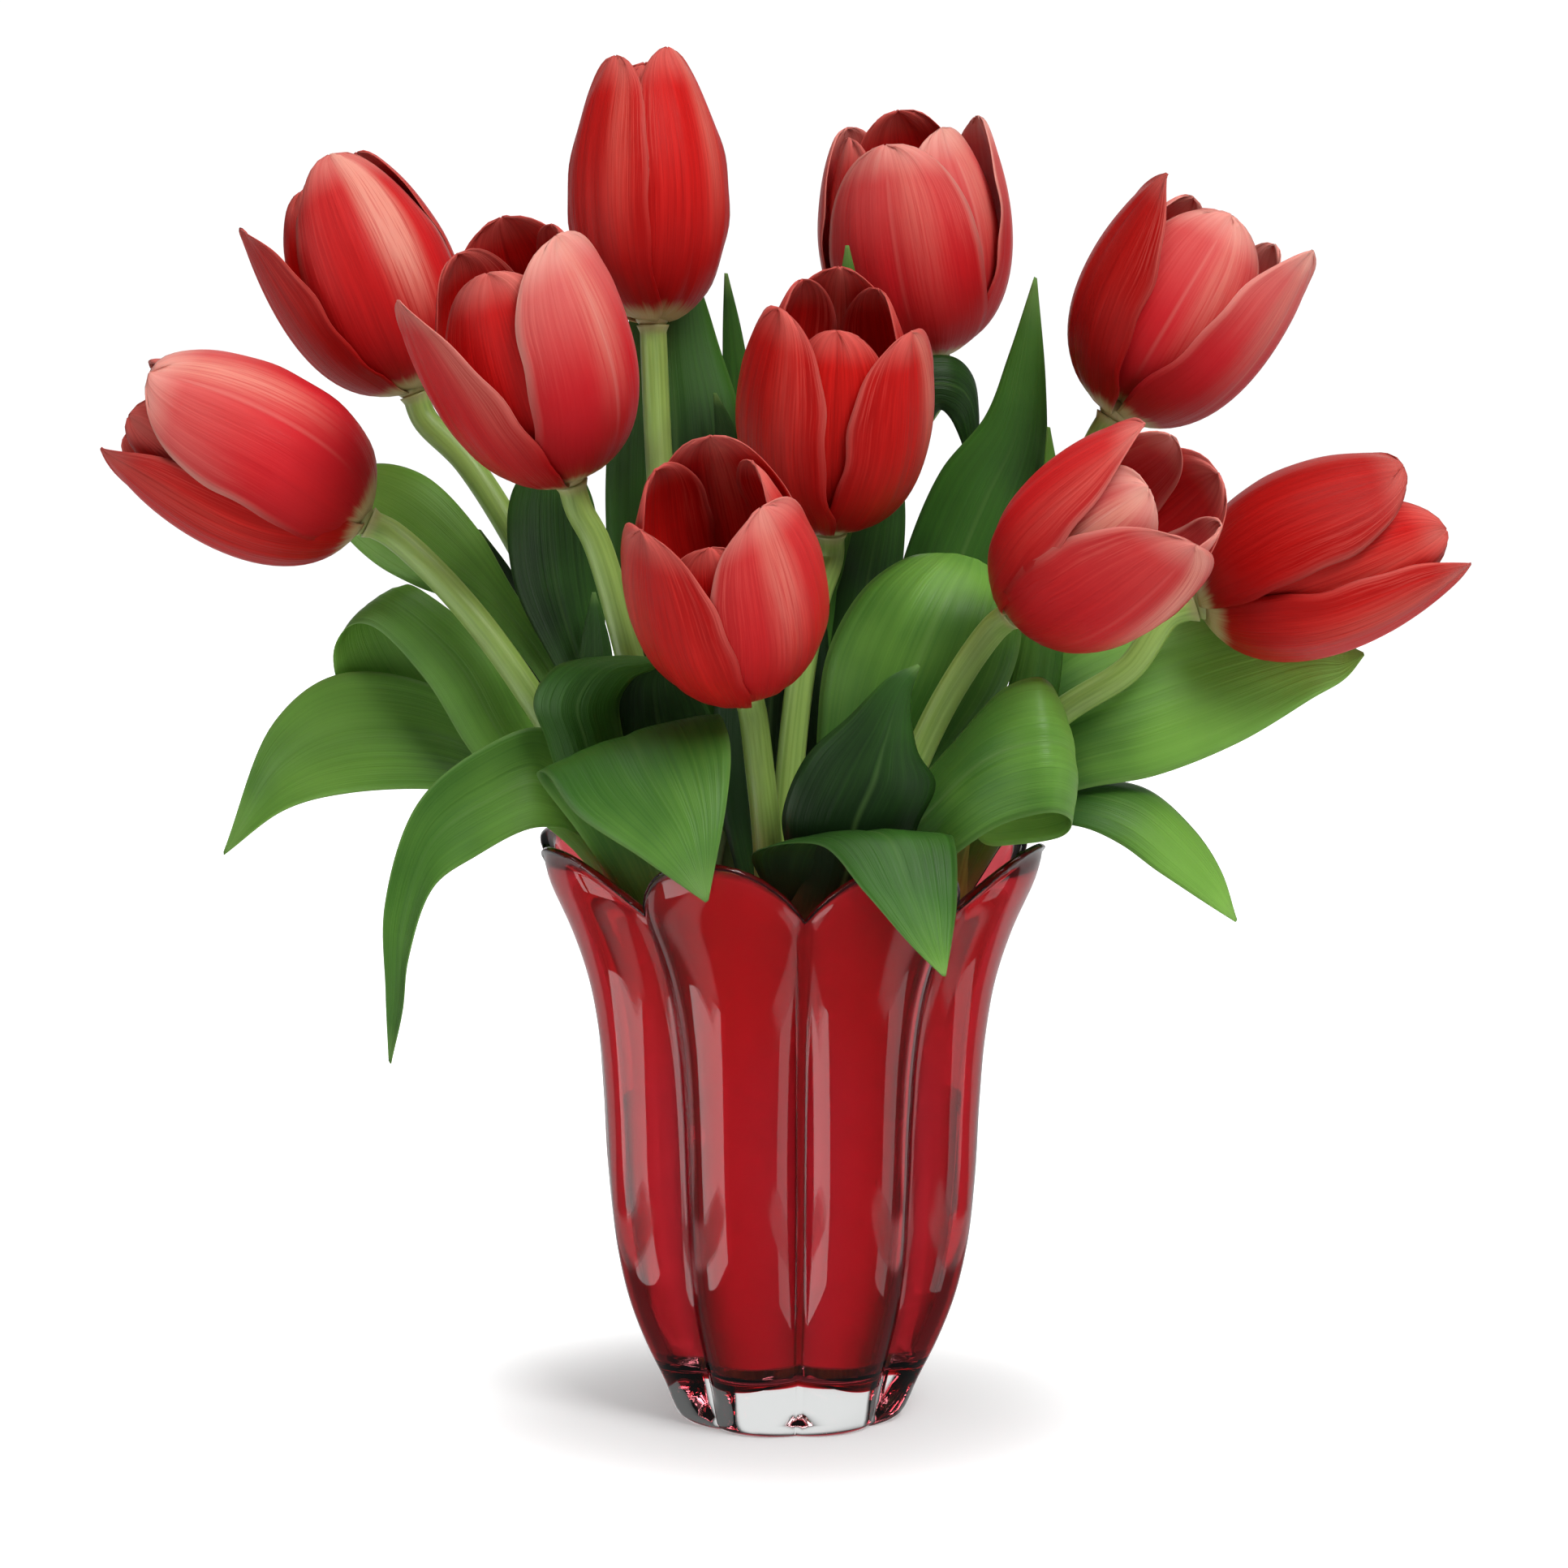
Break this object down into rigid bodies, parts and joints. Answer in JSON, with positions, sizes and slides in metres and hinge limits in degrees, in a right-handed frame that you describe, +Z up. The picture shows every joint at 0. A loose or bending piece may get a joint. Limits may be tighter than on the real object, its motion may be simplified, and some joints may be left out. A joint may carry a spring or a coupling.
{
  "type": "tulips in a vase",
  "caption": "Bouquet of red tulips with arching green leaves, standing in water in a lobed red glass vase with a scalloped rim and a thick clear foot.",
  "frame": {"origin": "centre of the vase's foot, on the flat face that it rests on", "axes": "+Z up along the vase's axis, -Y towards the front of the bouquet, +X to the right as seen from the front"},
  "size_m": [0.3895, 0.1926, 0.3976],
  "materials": {
    "red_glass": "glossy pressed glass, red with a clear foot",
    "water": "clear liquid",
    "leaf": "waxy green leaf and stem, finely ribbed along its length",
    "petal": "satin petal with fine lengthwise streaks"
  },
  "bodies": {
    "root": {"vase": "red_glass", "water": "water", "stem_a": "leaf", "stem_b": "leaf", "stem_c": "leaf", "stem_d": "leaf", "stem_e": "leaf", "stem_f": "leaf", "stem_g": "leaf", "stem_h": "leaf", "stem_i": "leaf", "stem_j": "leaf", "bloom_a": "petal", "bloom_b": "petal", "bloom_c": "petal", "bloom_d": "petal", "bloom_e": "petal", "bloom_f": "petal", "bloom_g": "petal", "bloom_h": "petal", "bloom_i": "petal", "bloom_j": "petal"}
  },
  "joints": []
}
